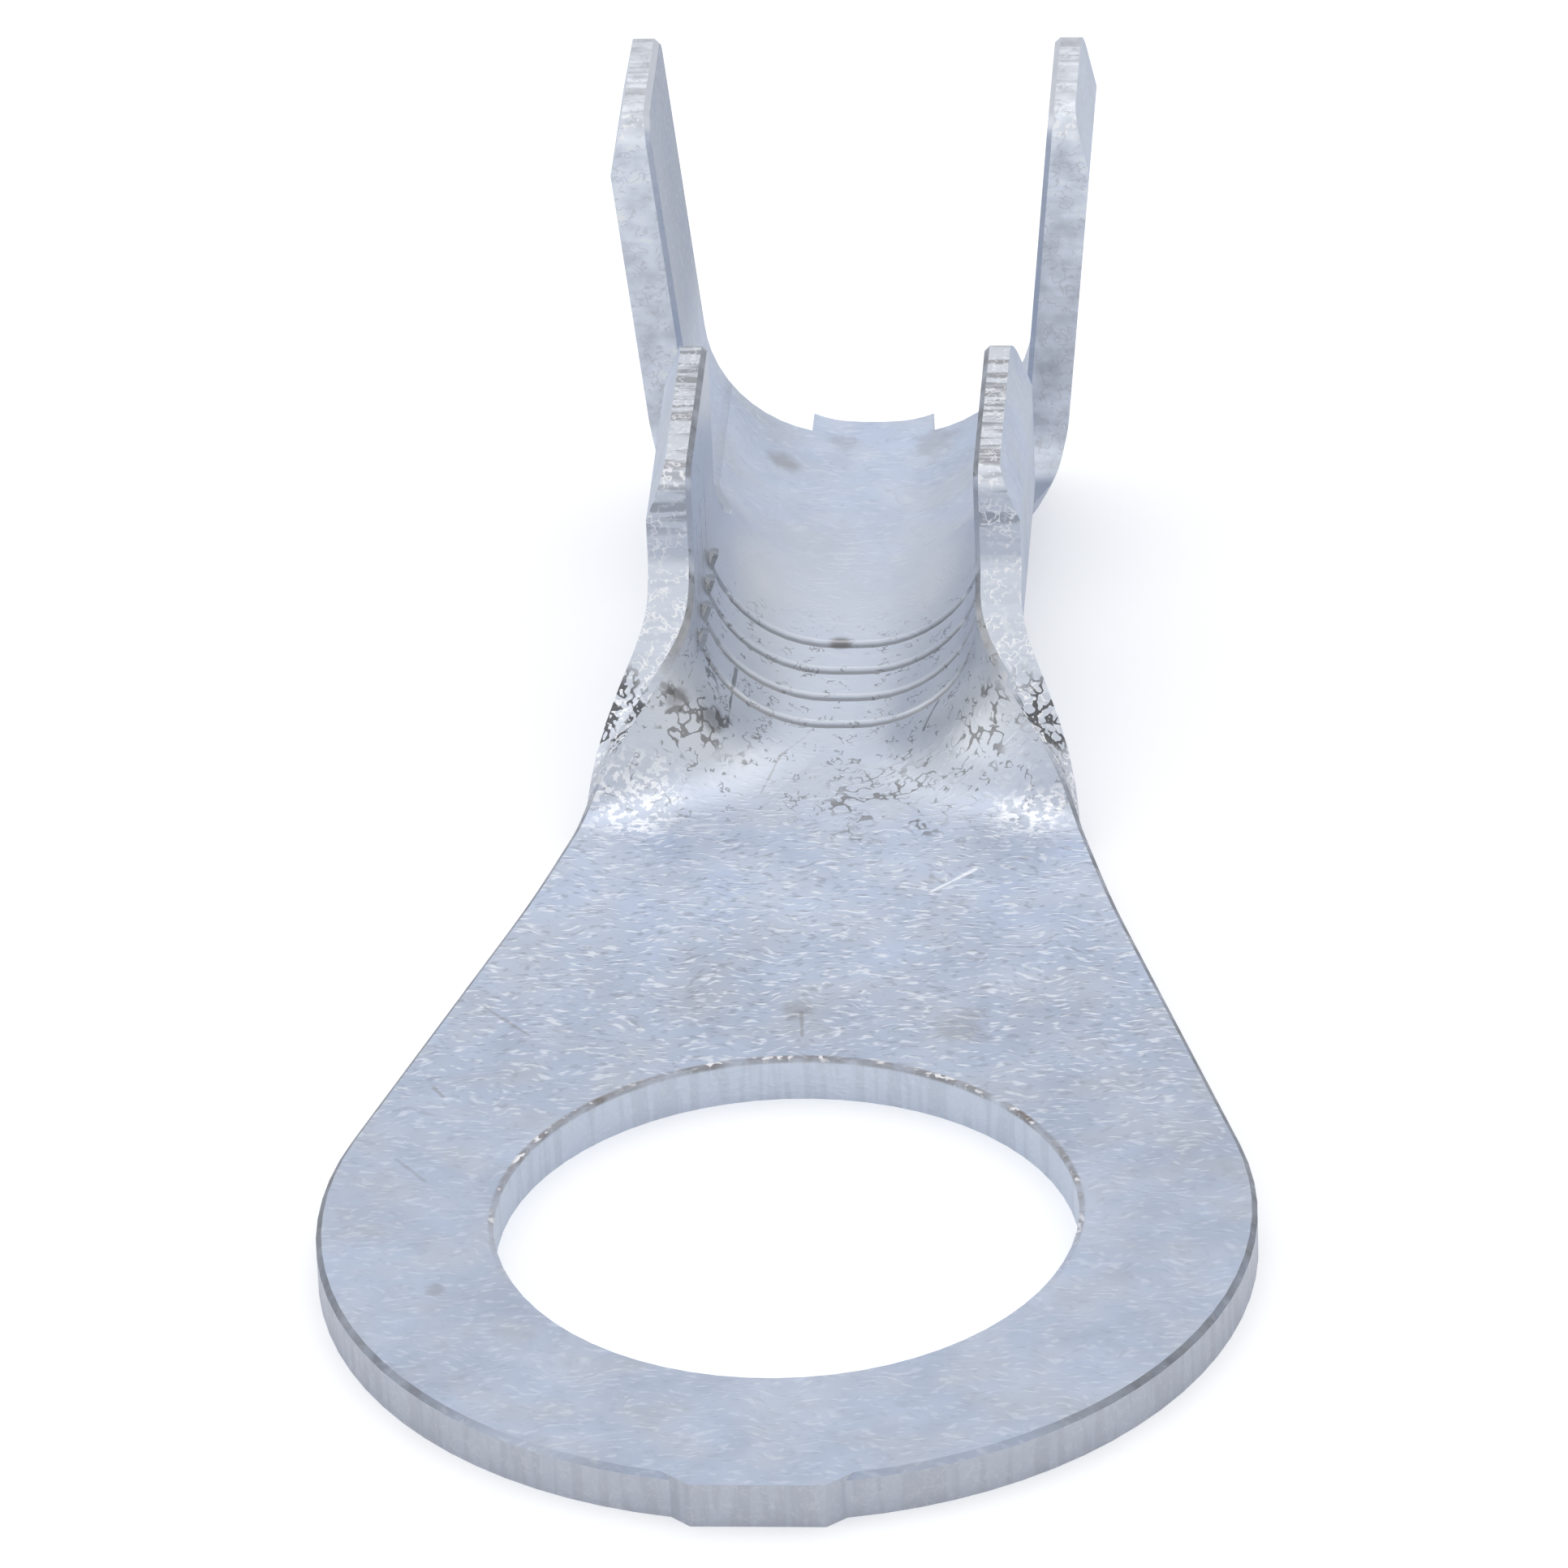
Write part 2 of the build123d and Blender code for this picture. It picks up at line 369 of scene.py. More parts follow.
# %% A group for scuffs
scuffs, given, give = new_group(
    "tool_scuffs",
    {"Place": "Vector", "Fineness": "Float", "Width": "Float", "Gaps": "Float"},
    {"Mask": "Float"},
)
curl = noise(scuffs, given["Place"], given["Fineness"], 1.5)
from_line = calc(scuffs, "ABSOLUTE", calc(scuffs, "SUBTRACT", curl, 0.5))
line = calc(scuffs, "SUBTRACT", given["Width"], from_line)
drawn = fade(scuffs, line, 0.0, 0.012)
breaks_scale = calc(scuffs, "MULTIPLY", given["Fineness"], 0.6)
breaks = noise(scuffs, stretched(scuffs, given["Place"], shift=(11, 5, 2)), breaks_scale, 1.0)
kept = fade(scuffs, calc(scuffs, "SUBTRACT", breaks, given["Gaps"]), 0.0, 0.06)
feed(scuffs, calc(scuffs, "MULTIPLY", drawn, kept), give["Mask"])
spread_out(scuffs)
print("scuffs:", len(scuffs.nodes), "nodes")

# %% [markdown]
# Some marks have a place of their own: a stain, a rubbed corner, one long scratch. A spot is the
# space within a radius of a point, and a scratch is the space near a straight run from one point to
# another. Both are measured in millimetres on the part, and work on any fold of it. The noise that
# makes them uneven is worked out once for all of them and handed in, which keeps the render quick.

# %% Groups for a spot and a scratch
spot, given, give = new_group(
    "spot",
    {"Place": "Vector", "Centre": "Vector", "Radius": "Float", "Unevenness": "Float", "Ragged": "Float"},
    {"Mask": "Float"},
)
away = vector_calc(spot, "DISTANCE", given["Place"], given["Centre"], out="Value")
pushed = calc(
    spot,
    "MULTIPLY_ADD",
    given["Unevenness"],
    given["Ragged"],
    calc(spot, "DIVIDE", away, given["Radius"]),
)
feed(spot, fade(spot, pushed, 1.2, 0.4), give["Mask"])
spread_out(spot)

scratch, given, give = new_group(
    "scratch",
    {"Place": "Vector", "Start": "Vector", "End": "Vector", "Unevenness": "Float", "Width": "Float"},
    {"Mask": "Float"},
)
run = vector_calc(scratch, "SUBTRACT", given["End"], given["Start"])
reach = vector_calc(scratch, "SUBTRACT", given["Place"], given["Start"])
along = calc(
    scratch,
    "DIVIDE",
    vector_calc(scratch, "DOT_PRODUCT", reach, run, out="Value"),
    vector_calc(scratch, "DOT_PRODUCT", run, run, out="Value"),
    clamp=True,
)
nearest = vector_calc(scratch, "SCALE", run)
feed(scratch, along, nearest.node.inputs["Scale"])
off_line = vector_calc(scratch, "DISTANCE", reach, nearest, out="Value")
off_line = calc(scratch, "ABSOLUTE", calc(scratch, "MULTIPLY_ADD", given["Unevenness"], 0.10, off_line))
feed(scratch, fade(scratch, calc(scratch, "DIVIDE", off_line, given["Width"]), 1.0, 0.3), give["Mask"])
spread_out(scratch)
print("spot and scratch ready")

# %% [markdown]
# A sheared edge looks unlike the rolled skin, and there are edges all round the part: round the
# hole and the ring, up the throat and over the wings. The sheet turns up from flat to upright along
# the throat, so the direction through its thickness turns too. Where the surface faces along that
# direction it is skin, where it faces across it is a sheared edge, and half way between lies the
# narrow bevel of the die roll.

# %% A group that finds the edges
throat_from, throat_to = 10.4, 13.6

edges, given, give = new_group(
    "sheet_edges",
    {"Place": "Vector", "Facing": "Vector"},
    {"Sheared": "Float", "Bevel": "Float", "Upright": "Float"},
)
at_x, at_y, at_z = split(edges, given["Place"])
toward_x, toward_y, toward_z = split(edges, given["Facing"])

# how far the sheet is turned up here, and how much the surface faces through it
turned = fade(edges, at_y, throat_from, throat_to, "SMOOTHERSTEP")
angle = times(edges, turned, math.pi / 2)
part_x = times(edges, toward_x, calc(edges, "SIGN", at_x), calc(edges, "SINE", angle))
part_z = times(edges, toward_z, calc(edges, "COSINE", angle))
through = calc(edges, "ABSOLUTE", calc(edges, "SUBTRACT", part_x, part_z))
squared = [calc(edges, "POWER", toward, 2.0) for toward in (toward_x, toward_z)]
in_section = calc(edges, "MAXIMUM", calc(edges, "SQRT", calc(edges, "ADD", *squared)), 0.3)
through = calc(edges, "DIVIDE", through, in_section)

# the rim climbs as a parabola, and inside it the throat's curved floor is never an edge
rim_rise, rim_base, rim_top, rim_half_width = 0.29, -0.1, 1.6, 1.95
past_start = calc(edges, "MAXIMUM", calc(edges, "SUBTRACT", at_y, throat_from), 0.0)
rim_height = scaled(edges, times(edges, past_start, past_start), rim_rise, rim_base)
above = calc(edges, "GREATER_THAN", at_z, calc(edges, "MINIMUM", rim_height, rim_top))
rim_out = times(edges, fade(edges, at_y, 11.0, 12.0, "LINEAR"), rim_half_width)
at_rim = times(edges, above, calc(edges, "GREATER_THAN", calc(edges, "ABSOLUTE", at_x), rim_out))

sheared_rim = times(edges, fade(edges, through, 0.62, 0.45), at_rim)
rear_face = times(edges, fade(edges, toward_y, 0.7, 0.9), turned)
feed(edges, calc(edges, "MAXIMUM", sheared_rim, rear_face), give["Sheared"])
half_way = between(edges, through, rise=(0.45, 0.62), fall=(0.90, 0.80))
feed(edges, times(edges, half_way, at_rim), give["Bevel"])
feed(edges, turned, give["Upright"])
spread_out(edges)
print("edge finder:", len(edges.nodes), "nodes")

# %% [markdown]
# Now the finish is put together in one material, from the broad to the fine. A pattern needs to
# know where on the part it is and which way the surface faces there. The place is the object
# coordinate in millimetres, which stays with the part in every view, and the edge finder reads
# both.

# %% The tinned sheet: place and facing
tin = bpy.data.materials.new("tinned_sheet")
tin.use_nodes = True
tree = tin.node_tree
tin_shader = tree.nodes["Principled BSDF"]
coordinates = add_node(tree, "ShaderNodeTexCoord")
place = vector_calc(tree, "SCALE", coordinates.outputs["Object"])
place.node.inputs["Scale"].default_value = 1000.0
x, y, z = split(tree, place)
out_x = calc(tree, "ABSOLUTE", x)
faces_x, faces_y, faces_up = split(tree, coordinates.outputs["Normal"])
edge = placed(tree, edges, Place=place, Facing=coordinates.outputs["Normal"])
uneven = calc(tree, "SUBTRACT", noise(tree, place, 2.4, 2.0), 0.5)
print("place and facing:", len(tree.nodes), "nodes so far")

# %% [markdown]
# Two masks are needed often. The ends of the serration lines lie in a narrow band on both walls,
# and their slanting faces must not be taken for edges. The inner side of the sheet is all that
# faces up or towards the middle, so that marks of the punch never show through on the outside.

# %% The tinned sheet: line ends and inner side
at_ends = times(
    tree,
    between(tree, z, rise=(1.35, 1.75), fall=(2.9, 2.7)),
    between(tree, y, rise=(13.5, 13.65), fall=(16.6, 16.4)),
    fade(tree, out_x, 2.4, 2.3),
)
is_sheared = times(tree, edge["Sheared"], inverse(tree, at_ends))
is_bevel = times(tree, edge["Bevel"], inverse(tree, at_ends))

outward = times(tree, faces_x, calc(tree, "SIGN", x))
inner_side = fade(tree, calc(tree, "SUBTRACT", faces_up, outward), 0.1, 0.3)
inner_side = calc(tree, "MAXIMUM", inner_side, at_ends)
print("masks:", len(tree.nodes), "nodes so far")

# %% [markdown]
# The skin comes first: a pale blue-grey that drifts a little towards neutral and is cloudy all
# over. Two close colours mixed by noise look more like tin than one colour made lighter and darker.
# The skin is a little paler from the tongue on, and darker inside the tall wings, where less light
# comes.

# %% The tinned sheet: its skin
tin_blue = (0.434, 0.488, 0.600, 1)
tin_grey = (0.460, 0.503, 0.586, 1)
wing_shade = (0.20, 0.24, 0.33, 1)

cloud = noise(tree, place, 0.75, 2.0)
tint = fade(tree, noise(tree, stretched(tree, place, shift=(3, 8, 1)), 1.1, 1.0), 0.35, 0.65)
skin = mix_colour(tree, tint, tin_blue, tin_grey)
cloudy = scaled(tree, calc(tree, "SUBTRACT", cloud, 0.5), 0.42, 1.0)
cloudy = scaled(tree, uneven, 0.16, cloudy)
cloudy = scaled(tree, fade(tree, y, 4.5, 10.0), 0.18, cloudy)
skin = mix_colour(tree, 1.0, skin, cloudy, "MULTIPLY")

tall_inside = times(
    tree,
    inner_side,
    fade(tree, z, 2.6, 4.4),
    fade(tree, y, 18.4, 19.4),
    fade(tree, calc(tree, "ABSOLUTE", faces_y), 0.45, 0.25),
)
skin = painted(tree, skin, tall_inside, wing_shade, 0.55)
print("skin:", len(tree.nodes), "nodes so far")

# %% [markdown]
# The strokes lie on the skin. They are worn in most on the tongue and hardly show on the rest. The
# group draws them everywhere at one strength, and a mask along the length then weakens them, so
# that they thin out without a border.

# %% The tinned sheet: its strokes
stroke_light = (0.78, 0.81, 0.86, 1)
stroke_dark = (0.22, 0.23, 0.26, 1)

dash = placed(tree, strokes, Place=place, Size=0.42)
on_tongue = between(tree, y, rise=(0.0, 6.5), fall=(13.0, 10.2))
worn = scaled(tree, on_tongue, 0.62, 0.30)
light_dash = times(tree, dash["Light"], worn, 0.75)
dark_dash = times(tree, dash["Dark"], worn, 0.40)
skin = painted(tree, skin, light_dash, stroke_light)
skin = painted(tree, skin, dark_dash, stroke_dark)
print("strokes:", len(tree.nodes), "nodes so far")

# %% [markdown]
# In the throat the forming punch has ironed the sheet smoother and paler. Low on its walls the
# colour is lifted further, as painted light against the darker reflections between the walls. A
# second material would end at a seam between two faces. A paler colour that is faded in by place
# has no seam, and the same mask can make the metal smoother later.

# %% The tinned sheet: its ironed throat and painted light low on its walls
ironed_pale = (0.61, 0.645, 0.71, 1)
painted_light_low_wall = (0.68, 0.70, 0.735, 1)

in_throat = between(tree, y, rise=(10.2, 11.8), fall=(22.0, 17.0))
ironed = times(tree, in_throat, inner_side, inverse(tree, is_sheared))
skin = painted(tree, skin, ironed, ironed_pale, 0.60)

# painted light: low on both walls the colour is lifted against the darker reflections there
low_wall_painted_light = times(
    tree,
    fade(tree, out_x, 0.6, 1.6),
    fade(tree, z, 3.8, 2.6),
    between(tree, y, rise=(11.5, 12.7), fall=(19.0, 17.0)),
    ironed,
)
skin = painted(tree, skin, low_wall_painted_light, painted_light_low_wall)
print("ironed throat:", len(tree.nodes), "nodes so far")

# %% [markdown]
# The punch has left its scuffs in clusters: on the throat's floor and on both flanks. Flecks lie
# loose all over it. Each cluster is a ragged spot that lets the curls through, and the flecks need
# only a band along the length. On the sheared edges the same two patterns are finer and closer.

# %% The tinned sheet: its scuffs and flecks
scuff_dark = (0.15, 0.145, 0.14, 1)


def nearby(centres_and_radii, ragged):
    """1 near any of some points, with ragged borders."""
    shared = {"Place": place, "Unevenness": uneven, "Ragged": ragged}
    near = [placed(tree, spot, Centre=c, Radius=r, **shared)["Mask"] for c, r in centres_and_radii]
    found = near[0]
    for mask in near[1:]:
        found = calc(tree, "MAXIMUM", found, mask)
    return found


in_cluster = nearby(
    (
        ((0.85, 11.35, 0.7), 1.15),
        ((-2.15, 12.6, 1.5), 0.95),
        ((2.35, 12.35, 1.5), 0.80),
        ((-2.1, 13.4, 1.9), 0.50),
    ),
    ragged=1.8,
)
curls = placed(
    tree,
    scuffs,
    Place=place,
    Fineness=scaled(tree, is_sheared, 1.3, 4.0),
    Width=scaled(tree, is_sheared, 0.012, 0.042),
    Gaps=scaled(tree, is_sheared, -0.06, 0.44),
)["Mask"]
skin = painted(tree, skin, times(tree, in_cluster, inner_side, curls), scuff_dark, 0.72)

fleck_gaps = scaled(tree, is_sheared, -0.10, 0.55)
flecks = placed(tree, scuffs, Place=place, Fineness=6.5, Width=0.034, Gaps=fleck_gaps)["Mask"]
fleck_zone = between(tree, y, rise=(10.4, 11.4), fall=(17.5, 15.5))
fleck_zone = times(tree, fleck_zone, scaled(tree, inner_side, 0.85, 0.15))
skin = painted(tree, skin, times(tree, flecks, fleck_zone), scuff_dark, 0.6)
print("scuffs and flecks:", len(tree.nodes), "nodes so far")

# %% [markdown]
# Close to the two corners where the sheet starts to curl, a highlight is painted into the colour,
# where the bend catches the light from above. A spot marks each of the two, and the grains break it
# up, so that no round patch is seen.

# %% The tinned sheet: painted highlights at its corners
painted_highlight = (0.98, 0.98, 1.0, 1)

corner_highlight_spot = nearby((((-2.95, 11.2, 0.85), 0.78), ((3.05, 10.95, 0.75), 0.72)), ragged=1.6)
grain_level = scaled(tree, is_sheared, 0.06, 0.49)
grain = placed(tree, grains, Place=place, Fineness=9.0, Level=grain_level)["Mask"]
# painted highlight: white over the two corner spots, broken up by the grains
corner = times(tree, corner_highlight_spot, scaled(tree, grain, 0.66, 0.08))
skin = painted(tree, skin, corner, painted_highlight)
print("corners:", len(tree.nodes), "nodes so far")

# %% [markdown]
# A few marks are one of a kind: a pale scratch that runs slantwise over the tongue, dark ones drawn
# up the throat by the punch, small nicks on the ring and faint stains behind the hole and at the
# rear. Each is one spot or scratch with its own colour and strength.

# %% The tinned sheet: single marks
pale = (0.90, 0.92, 0.96, 1)
stain = (0.25, 0.235, 0.225, 1)

# start, end, width, colour, strength
scratches = (
    ((1.63, 8.84, 0.7), (2.27, 9.49, 0.7), 0.035, pale, 0.85),
    ((-1.61, 14.32, 1.31), (-1.63, 13.30, 1.33), 0.045, scuff_dark, 0.70),
    ((-1.63, 13.30, 1.33), (-1.66, 12.80, 1.21), 0.045, scuff_dark, 0.75),
    ((1.52, 13.52, 1.22), (1.31, 13.02, 1.01), 0.035, scuff_dark, 0.55),
    ((2.02, 13.14, 1.88), (2.06, 12.39, 1.33), 0.030, scuff_dark, 0.45),
    ((-2.57, 12.45, 2.15), (-2.25, 12.60, 1.79), 0.090, scuff_dark, 0.50),
    ((-0.45, 13.40, 0.72), (-0.86, 12.65, 0.77), 0.030, stain, 0.45),
    ((-0.86, 12.65, 0.77), (-1.09, 11.65, 0.71), 0.030, stain, 0.40),
    ((-0.10, 5.45, 0.7), (-0.06, 4.80, 0.7), 0.035, stain, 0.45),
    ((-4.80, 5.60, 0.7), (-4.07, 4.81, 0.7), 0.030, stain, 0.40),
    ((-5.35, 3.37, 0.7), (-5.19, 3.12, 0.7), 0.050, stain, 0.45),
    ((-5.74, 1.45, 0.7), (-5.28, 0.88, 0.7), 0.050, stain, 0.30),
)
for start, end, width, paint, strength in scratches:
    where = {"Start": start, "End": end, "Width": width}
    mark = placed(tree, scratch, Place=place, Unevenness=uneven, **where)["Mask"]
    skin = painted(tree, skin, mark, paint, strength)

# centre, radius, ragged, colour, strength
spots = (
    ((-1.90, 12.70, 1.40), 0.26, 2.6, scuff_dark, 0.55),
    ((-2.35, 12.55, 1.85), 0.22, 2.6, scuff_dark, 0.45),
    ((-0.14, 16.14, 0.67), 0.20, 0.4, scuff_dark, 0.80),
    ((2.23, 5.12, 0.7), 0.55, 1.6, stain, 0.30),
    ((-0.16, 5.52, 0.7), 0.28, 1.2, stain, 0.32),
    ((-4.88, -1.98, 0.7), 0.16, 0.8, stain, 0.35),
    ((-1.35, 21.45, 0.9), 0.30, 0.8, stain, 0.45),
    ((0.95, 22.25, 0.77), 0.45, 1.6, stain, 0.30),
    ((-0.40, 22.35, 0.7), 0.30, 1.6, stain, 0.22),
)
for centre, radius, ragged, paint, strength in spots:
    skin = painted(tree, skin, nearby(((centre, radius),), ragged), paint, strength)
print("marks:", len(scratches), "scratches and", len(spots), "spots")

# %% [markdown]
# Shearing leaves fine ribs across the thickness of the sheet. On the flat ring the thickness runs
# up, on the wings it runs sideways, so the noise is squeezed along Z in one place and along X in
# the other. The ribs are darkest up the wire wings and on the wings' coined tops.

# %% The tinned sheet: ribs on the sheared edges
cut_flat = (0.56, 0.59, 0.66, 1)
cut_upright = (0.74, 0.775, 0.84, 1)
cut_in_hole = (0.68, 0.74, 0.84, 1)
rib_paint = (0.16, 0.165, 0.18, 1)
top_grey = (0.40, 0.39, 0.39, 1)

ribs_flat = noise(tree, stretched(tree, place, (1, 1, 0.10)), 5.0, 2.0)
ribs_upright = noise(tree, stretched(tree, place, (0.10, 1, 1), shift=(2, 0, 0)), 6.5, 2.0)
rib_mix = add_node(tree, "ShaderNodeMix", data_type="FLOAT")
feed(tree, edge["Upright"], rib_mix.inputs["Factor"])
feed(tree, ribs_flat, rib_mix.inputs["A"])
feed(tree, ribs_upright, rib_mix.inputs["B"])
ribs = rib_mix.outputs["Result"]

on_top = times(tree, fade(tree, faces_up, 0.8, 0.95), fade(tree, z, 4.4, 4.7))
up_wire_wing = between(tree, y, rise=(13.2, 13.9), fall=(19.0, 18.0))
up_wire_wing = times(tree, up_wire_wing, fade(tree, z, 3.8, 4.3))
rib_strength = scaled(tree, edge["Upright"], -0.04, 0.10)
rib_strength = scaled(tree, on_top, 0.22, rib_strength)
rib_strength = scaled(tree, up_wire_wing, 0.42, rib_strength)

flat_place = vector_calc(tree, "MULTIPLY", place, (1, 1, 0))
from_axis = vector_calc(tree, "LENGTH", flat_place, out="Value")
cut_metal = mix_colour(tree, edge["Upright"], cut_flat, cut_upright)
cut_metal = painted(tree, cut_metal, fade(tree, from_axis, 4.6, 4.3), cut_in_hole)
sheared = painted(tree, cut_metal, fade(tree, ribs, 0.56, 0.42), rib_paint, rib_strength)
sheared = painted(tree, sheared, on_top, top_grey, 0.30)
print("ribs:", len(tree.nodes), "nodes so far")

# %% [markdown]
# The tall wings at the rear have mottled edges with few ribs. On all edges shearing tears out
# bright flecks, most of them on the throat's rims and on worn corners. Each cause has its own mask
# and is laid over the last, so that one can be made stronger or weaker alone.

# %% The tinned sheet: mottled and worn edges
torn_bright = (0.97, 0.97, 0.98, 1)

on_tall_wing = fade(tree, y, 18.6, 19.4)
mottle = scaled(tree, times(tree, uneven, on_tall_wing), 0.9, scaled(tree, on_tall_wing, 0.10, 1.0))
sheared = mix_colour(tree, 1.0, sheared, mottle, "MULTIPLY")
sheared = painted(tree, sheared, times(tree, flecks, on_tall_wing), scuff_dark, 0.22)

on_corner = between(tree, faces_up, rise=(0.10, 0.35), fall=(0.97, 0.80))
on_corner = times(tree, on_corner, fade(tree, z, 4.4, 4.6))
grain_zone = between(tree, y, rise=(10.6, 11.6), fall=(20.0, 17.0))
bright = calc(tree, "MAXIMUM", times(tree, grain, 0.35), flecks)
bright = times(tree, bright, scaled(tree, grain_zone, 0.80, 0.12))
bright = calc(tree, "MAXIMUM", bright, times(tree, on_corner, scaled(tree, grain, 0.75, 0.15)))
bright = times(tree, bright, scaled(tree, on_top, -0.5, 1.0))
sheared = painted(tree, sheared, bright, torn_bright)
print("worn edges:", len(tree.nodes), "nodes so far")

# %% [markdown]
# The rounded notch between the barrels is cleanly cut and lies in shade. The throat's rims are the
# roughest of all: there black curls are torn in. After that the sheared edges are complete, and are
# laid over the skin by the edge finder's mask.

# %% The tinned sheet: notches and torn rims
notch_shade = (0.42, 0.46, 0.54, 1)
torn_black = (0.07, 0.07, 0.07, 1)

at_notch = times(tree, between(tree, y, rise=(16.9, 17.3), fall=(19.6, 19.2)), fade(tree, z, 3.4, 2.8))
sheared = painted(tree, sheared, at_notch, notch_shade)
torn_zone = nearby((((-3.2, 12.1, 1.75), 0.80), ((3.2, 12.15, 1.75), 0.80)), ragged=1.2)
sheared = painted(tree, sheared, times(tree, curls, torn_zone), torn_black, 0.88)
colour = painted(tree, skin, is_sheared, sheared)
print("rims:", len(tree.nodes), "nodes so far")

# %% [markdown]
# The die roll is the rounded border between skin and sheared edge. It is a narrow bevel in the
# mesh, and the edge finder knows it by its slant. On the tall wings it is painted paler. Elsewhere it
# is painted as a thin dark line that outlines ring, tongue and throat.

# %% The tinned sheet: its die roll
tall_bevel_pale = (0.80, 0.82, 0.87, 1)
line_paint = (0.12, 0.115, 0.11, 1)

tall_bevel = times(tree, is_bevel, on_tall_wing, fade(tree, z, 3.0, 4.0))
colour = painted(tree, colour, tall_bevel, tall_bevel_pale, 0.7)
line_dark = times(tree, is_bevel, scaled(tree, uneven, 0.9, 0.50, clamp=True))
line_dark = times(tree, line_dark, scaled(tree, fade(tree, y, 17.5, 18.5), -0.75, 1.0))
colour = painted(tree, colour, line_dark, line_paint)
print("die roll:", len(tree.nodes), "nodes so far")

# %% [markdown]
# Four serration lines cross the wire barrel, so that the crimp bites into the strands. Each is a
# pressed groove in the mesh, and gets a painted shade along its bottom and a painted highlight on the
# lip behind it. They lie at an even pitch, so one ping-pong of Y draws them all, and on the walls they
# fade out with height.

# %% The tinned sheet: the serration lines
first_line, line_pitch, lip_behind = 13.7, 0.8, 0.09
lip_highlight_paint = (0.95, 0.95, 0.96, 1)
groove_shade_paint = (0.16, 0.155, 0.15, 1)

in_trough = times(
    tree,
    inner_side,
    fade(tree, z, 4.2, 2.6),
    inverse(tree, is_sheared),
    between(tree, y, rise=(13.5, 13.6), fall=(16.35, 16.25)),
    scaled(tree, at_ends, -0.75, 1.0),
)
past_line = calc(tree, "SUBTRACT", y, first_line)
off_bottom = calc(tree, "PINGPONG", past_line, line_pitch / 2)
off_lip = calc(tree, "PINGPONG", calc(tree, "SUBTRACT", past_line, lip_behind), line_pitch / 2)
painted_lip_highlight = times(tree, fade(tree, off_lip, 0.04, 0.01), in_trough)
painted_groove_shade = times(tree, fade(tree, off_bottom, 0.06, 0.02), in_trough)
# a painted highlight on each lip, and a painted shade in each groove's bottom
colour = painted(tree, colour, painted_lip_highlight, lip_highlight_paint, 0.35)
colour = painted(tree, colour, painted_groove_shade, groove_shade_paint, 0.60)
print("serration lines:", len(tree.nodes), "nodes so far")

# %% [markdown]
# The hole's upper edge has its own line: brown where the plating is thin, with breaks and bright
# specks, and strongest at the back. It is a narrow ring around the hole, measured from the hole's
# axis.

# %% The tinned sheet: the edge of the hole
hole_line_radius = 4.23
rim_brown = (0.17, 0.135, 0.11, 1)
rim_bright = (0.95, 0.95, 0.97, 1)

off_edge = calc(tree, "ABSOLUTE", calc(tree, "SUBTRACT", from_axis, hole_line_radius))
rim_line = times(
    tree,
    fade(tree, off_edge, 0.075, 0.02),
    fade(tree, z, 0.60, 0.66),
    fade(tree, y, -2.5, 1.5),
)
rim_broken = scaled(tree, uneven, 1.6, 0.48, clamp=True)
colour = painted(tree, colour, times(tree, rim_line, rim_broken), rim_brown)
rim_speck = times(tree, rim_line, grain, fade(tree, uneven, 0.0, 0.12))
colour = painted(tree, colour, rim_speck, rim_bright, 0.8)
print("hole edge:", len(tree.nodes), "nodes so far")

# %% [markdown]
# Colour alone would look printed, so the same patterns drive how the surface shines. The ironed
# throat is smoother, and the sheared edges and the dark line along them are rougher. A shallow bump
# from the strokes, the clouds and the ribs lets the light catch them.

# %% The tinned sheet: shine and relief
relief_depth = 0.00002

rough = scaled(tree, calc(tree, "SUBTRACT", cloud, 0.5), 0.20, 0.42)
rough = scaled(tree, ironed, -0.06, rough)
rough = scaled(tree, is_sheared, 0.06, rough)
rough = scaled(tree, line_dark, 0.20, rough, clamp=True)

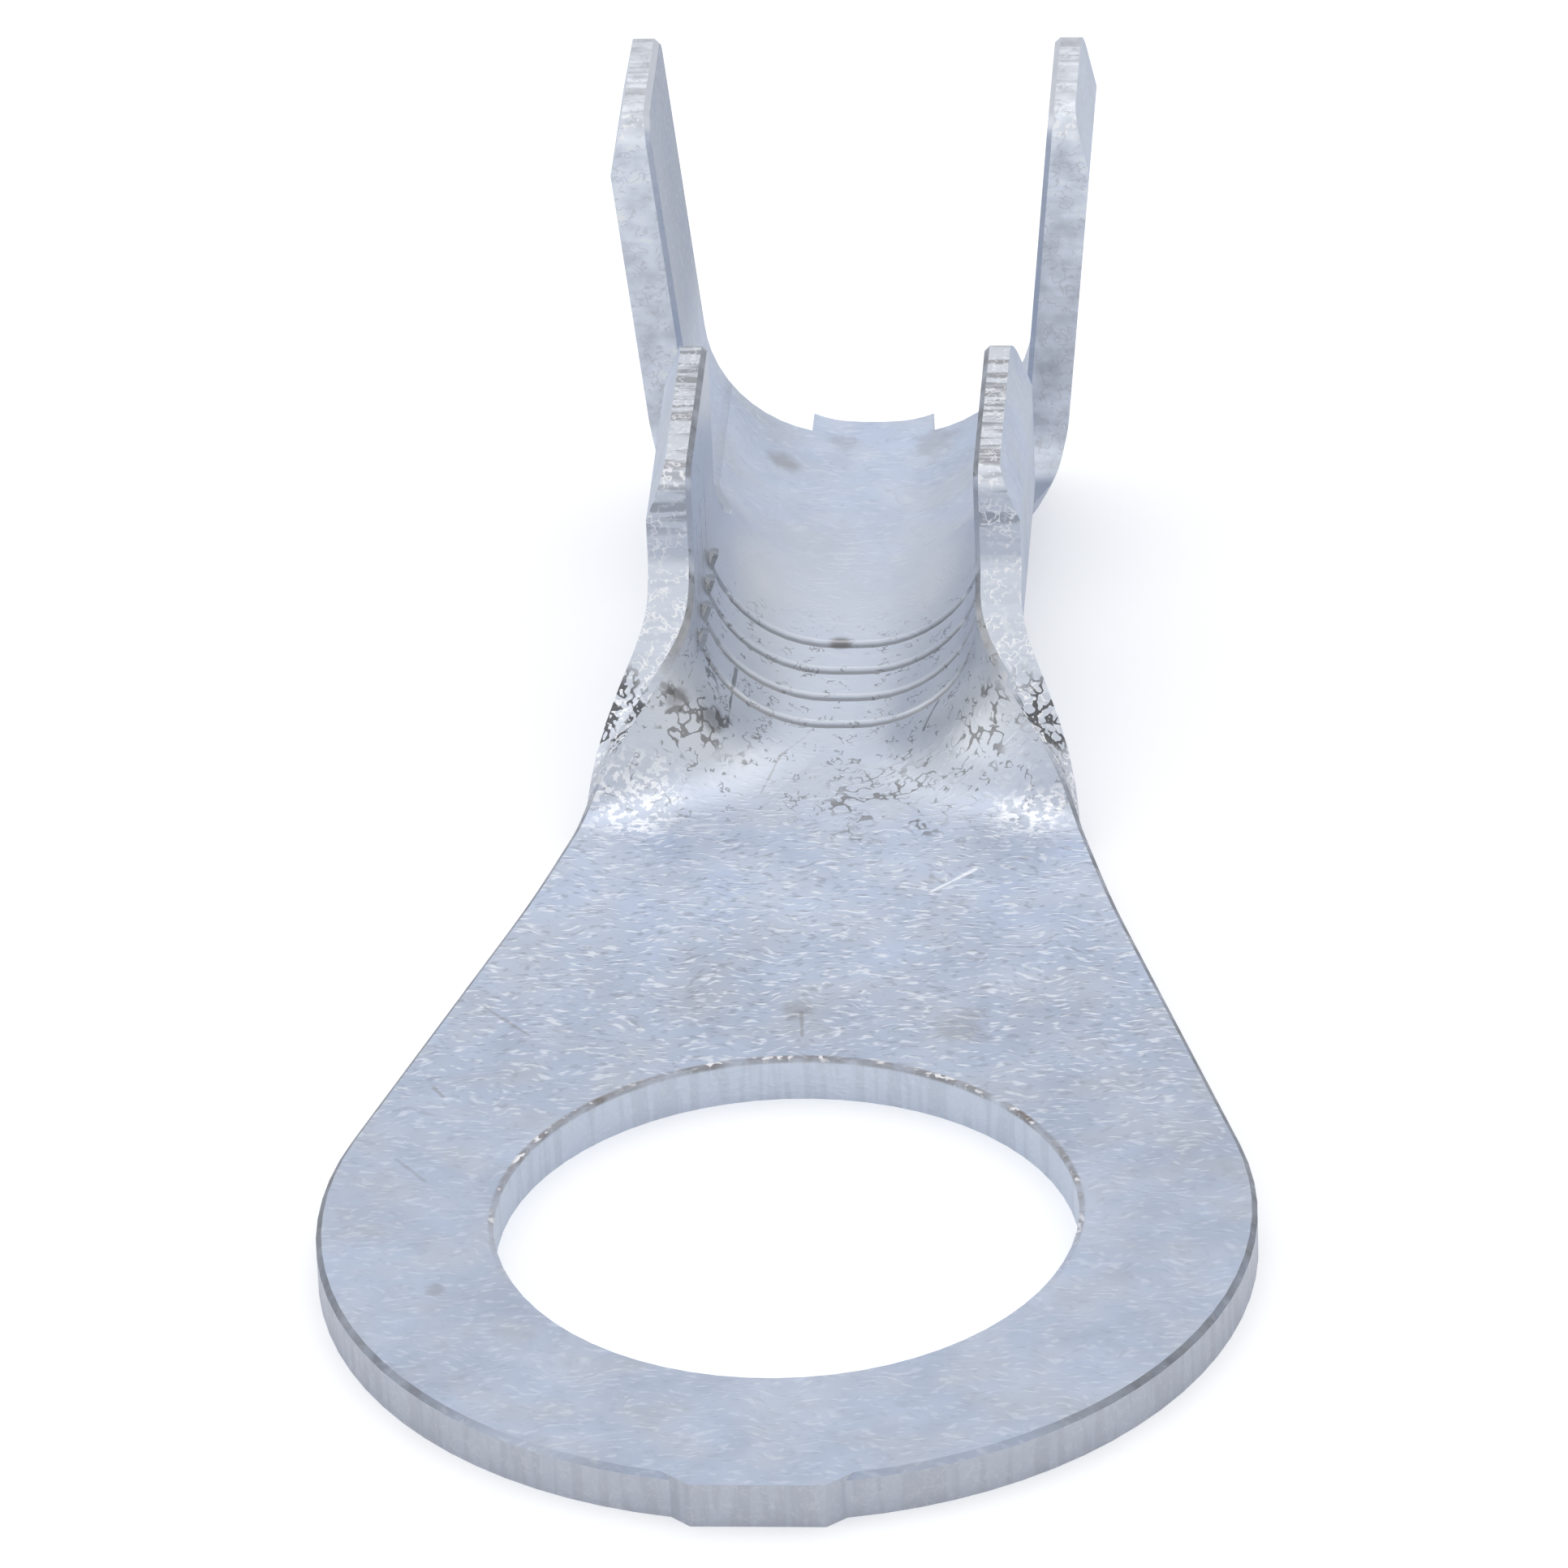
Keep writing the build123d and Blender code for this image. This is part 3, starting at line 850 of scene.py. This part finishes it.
relief = calc(tree, "SUBTRACT", light_dash, dark_dash)
relief = scaled(tree, cloud, 0.35, relief)
ribbed = times(tree, is_sheared, scaled(tree, fade(tree, y, 18.0, 19.0), -0.7, 1.0))
relief = scaled(tree, times(tree, ribs, ribbed), 1.2, relief)
bump = add_node(tree, "ShaderNodeBump")
feed(tree, relief, bump.inputs["Height"])
feed(tree, 0.35, bump.inputs["Strength"])
feed(tree, relief_depth, bump.inputs["Distance"])
print("shine and relief:", len(tree.nodes), "nodes so far")

# %% [markdown]
# The serration lines end on the walls of the trough in small pits, where the real ones fade out.
# The walls are part of a cylinder whose axis is known, so near the ends the surface is shaded as if
# it faced that axis. The pits stay in the mesh and only look softer.

# %% The tinned sheet: ends of the serration lines
trough_axis_x, trough_axis_z = 0.2, 2.63

sideways = calc(tree, "SUBTRACT", times(tree, calc(tree, "SIGN", x), trough_axis_x), x)
upwards = calc(tree, "MAXIMUM", calc(tree, "SUBTRACT", trough_axis_z, z), 0.0)
to_axis = add_node(tree, "ShaderNodeCombineXYZ")
feed(tree, sideways, to_axis.inputs["X"])
feed(tree, upwards, to_axis.inputs["Z"])
wall_facing = add_node(
    tree, "ShaderNodeVectorTransform", vector_type="NORMAL", convert_from="OBJECT", convert_to="WORLD"
)
feed(tree, vector_calc(tree, "NORMALIZE", to_axis.outputs["Vector"]), wall_facing.inputs["Vector"])
eased = add_node(tree, "ShaderNodeMix", data_type="VECTOR")
feed(tree, at_ends, eased.inputs["Factor"])
feed(tree, bump.outputs["Normal"], eased.inputs["A"])
feed(tree, wall_facing.outputs["Vector"], eased.inputs["B"])
print("serration ends:", len(tree.nodes), "nodes so far")

# %% [markdown]
# Last, the patterns go to the shader. Tin is bare metal, so Metallic is 1 all over and set on its
# own socket.

# %% The tinned sheet: its shader
feed(tree, colour, tin_shader.inputs["Base Color"])
feed(tree, 1.0, tin_shader.inputs["Metallic"])
feed(tree, rough, tin_shader.inputs["Roughness"])
feed(tree, eased.outputs["Result"], tin_shader.inputs["Normal"])
spread_out(tree)
terminal.material_slots[0].material = tin
print("tinned sheet:", len(tree.nodes), "nodes")

# %% [markdown]
# A product picture is judged as it is seen, so the view transform is the plain one, without a film
# curve.

# %% Finish
bpy.context.scene.view_settings.view_transform = "Standard"
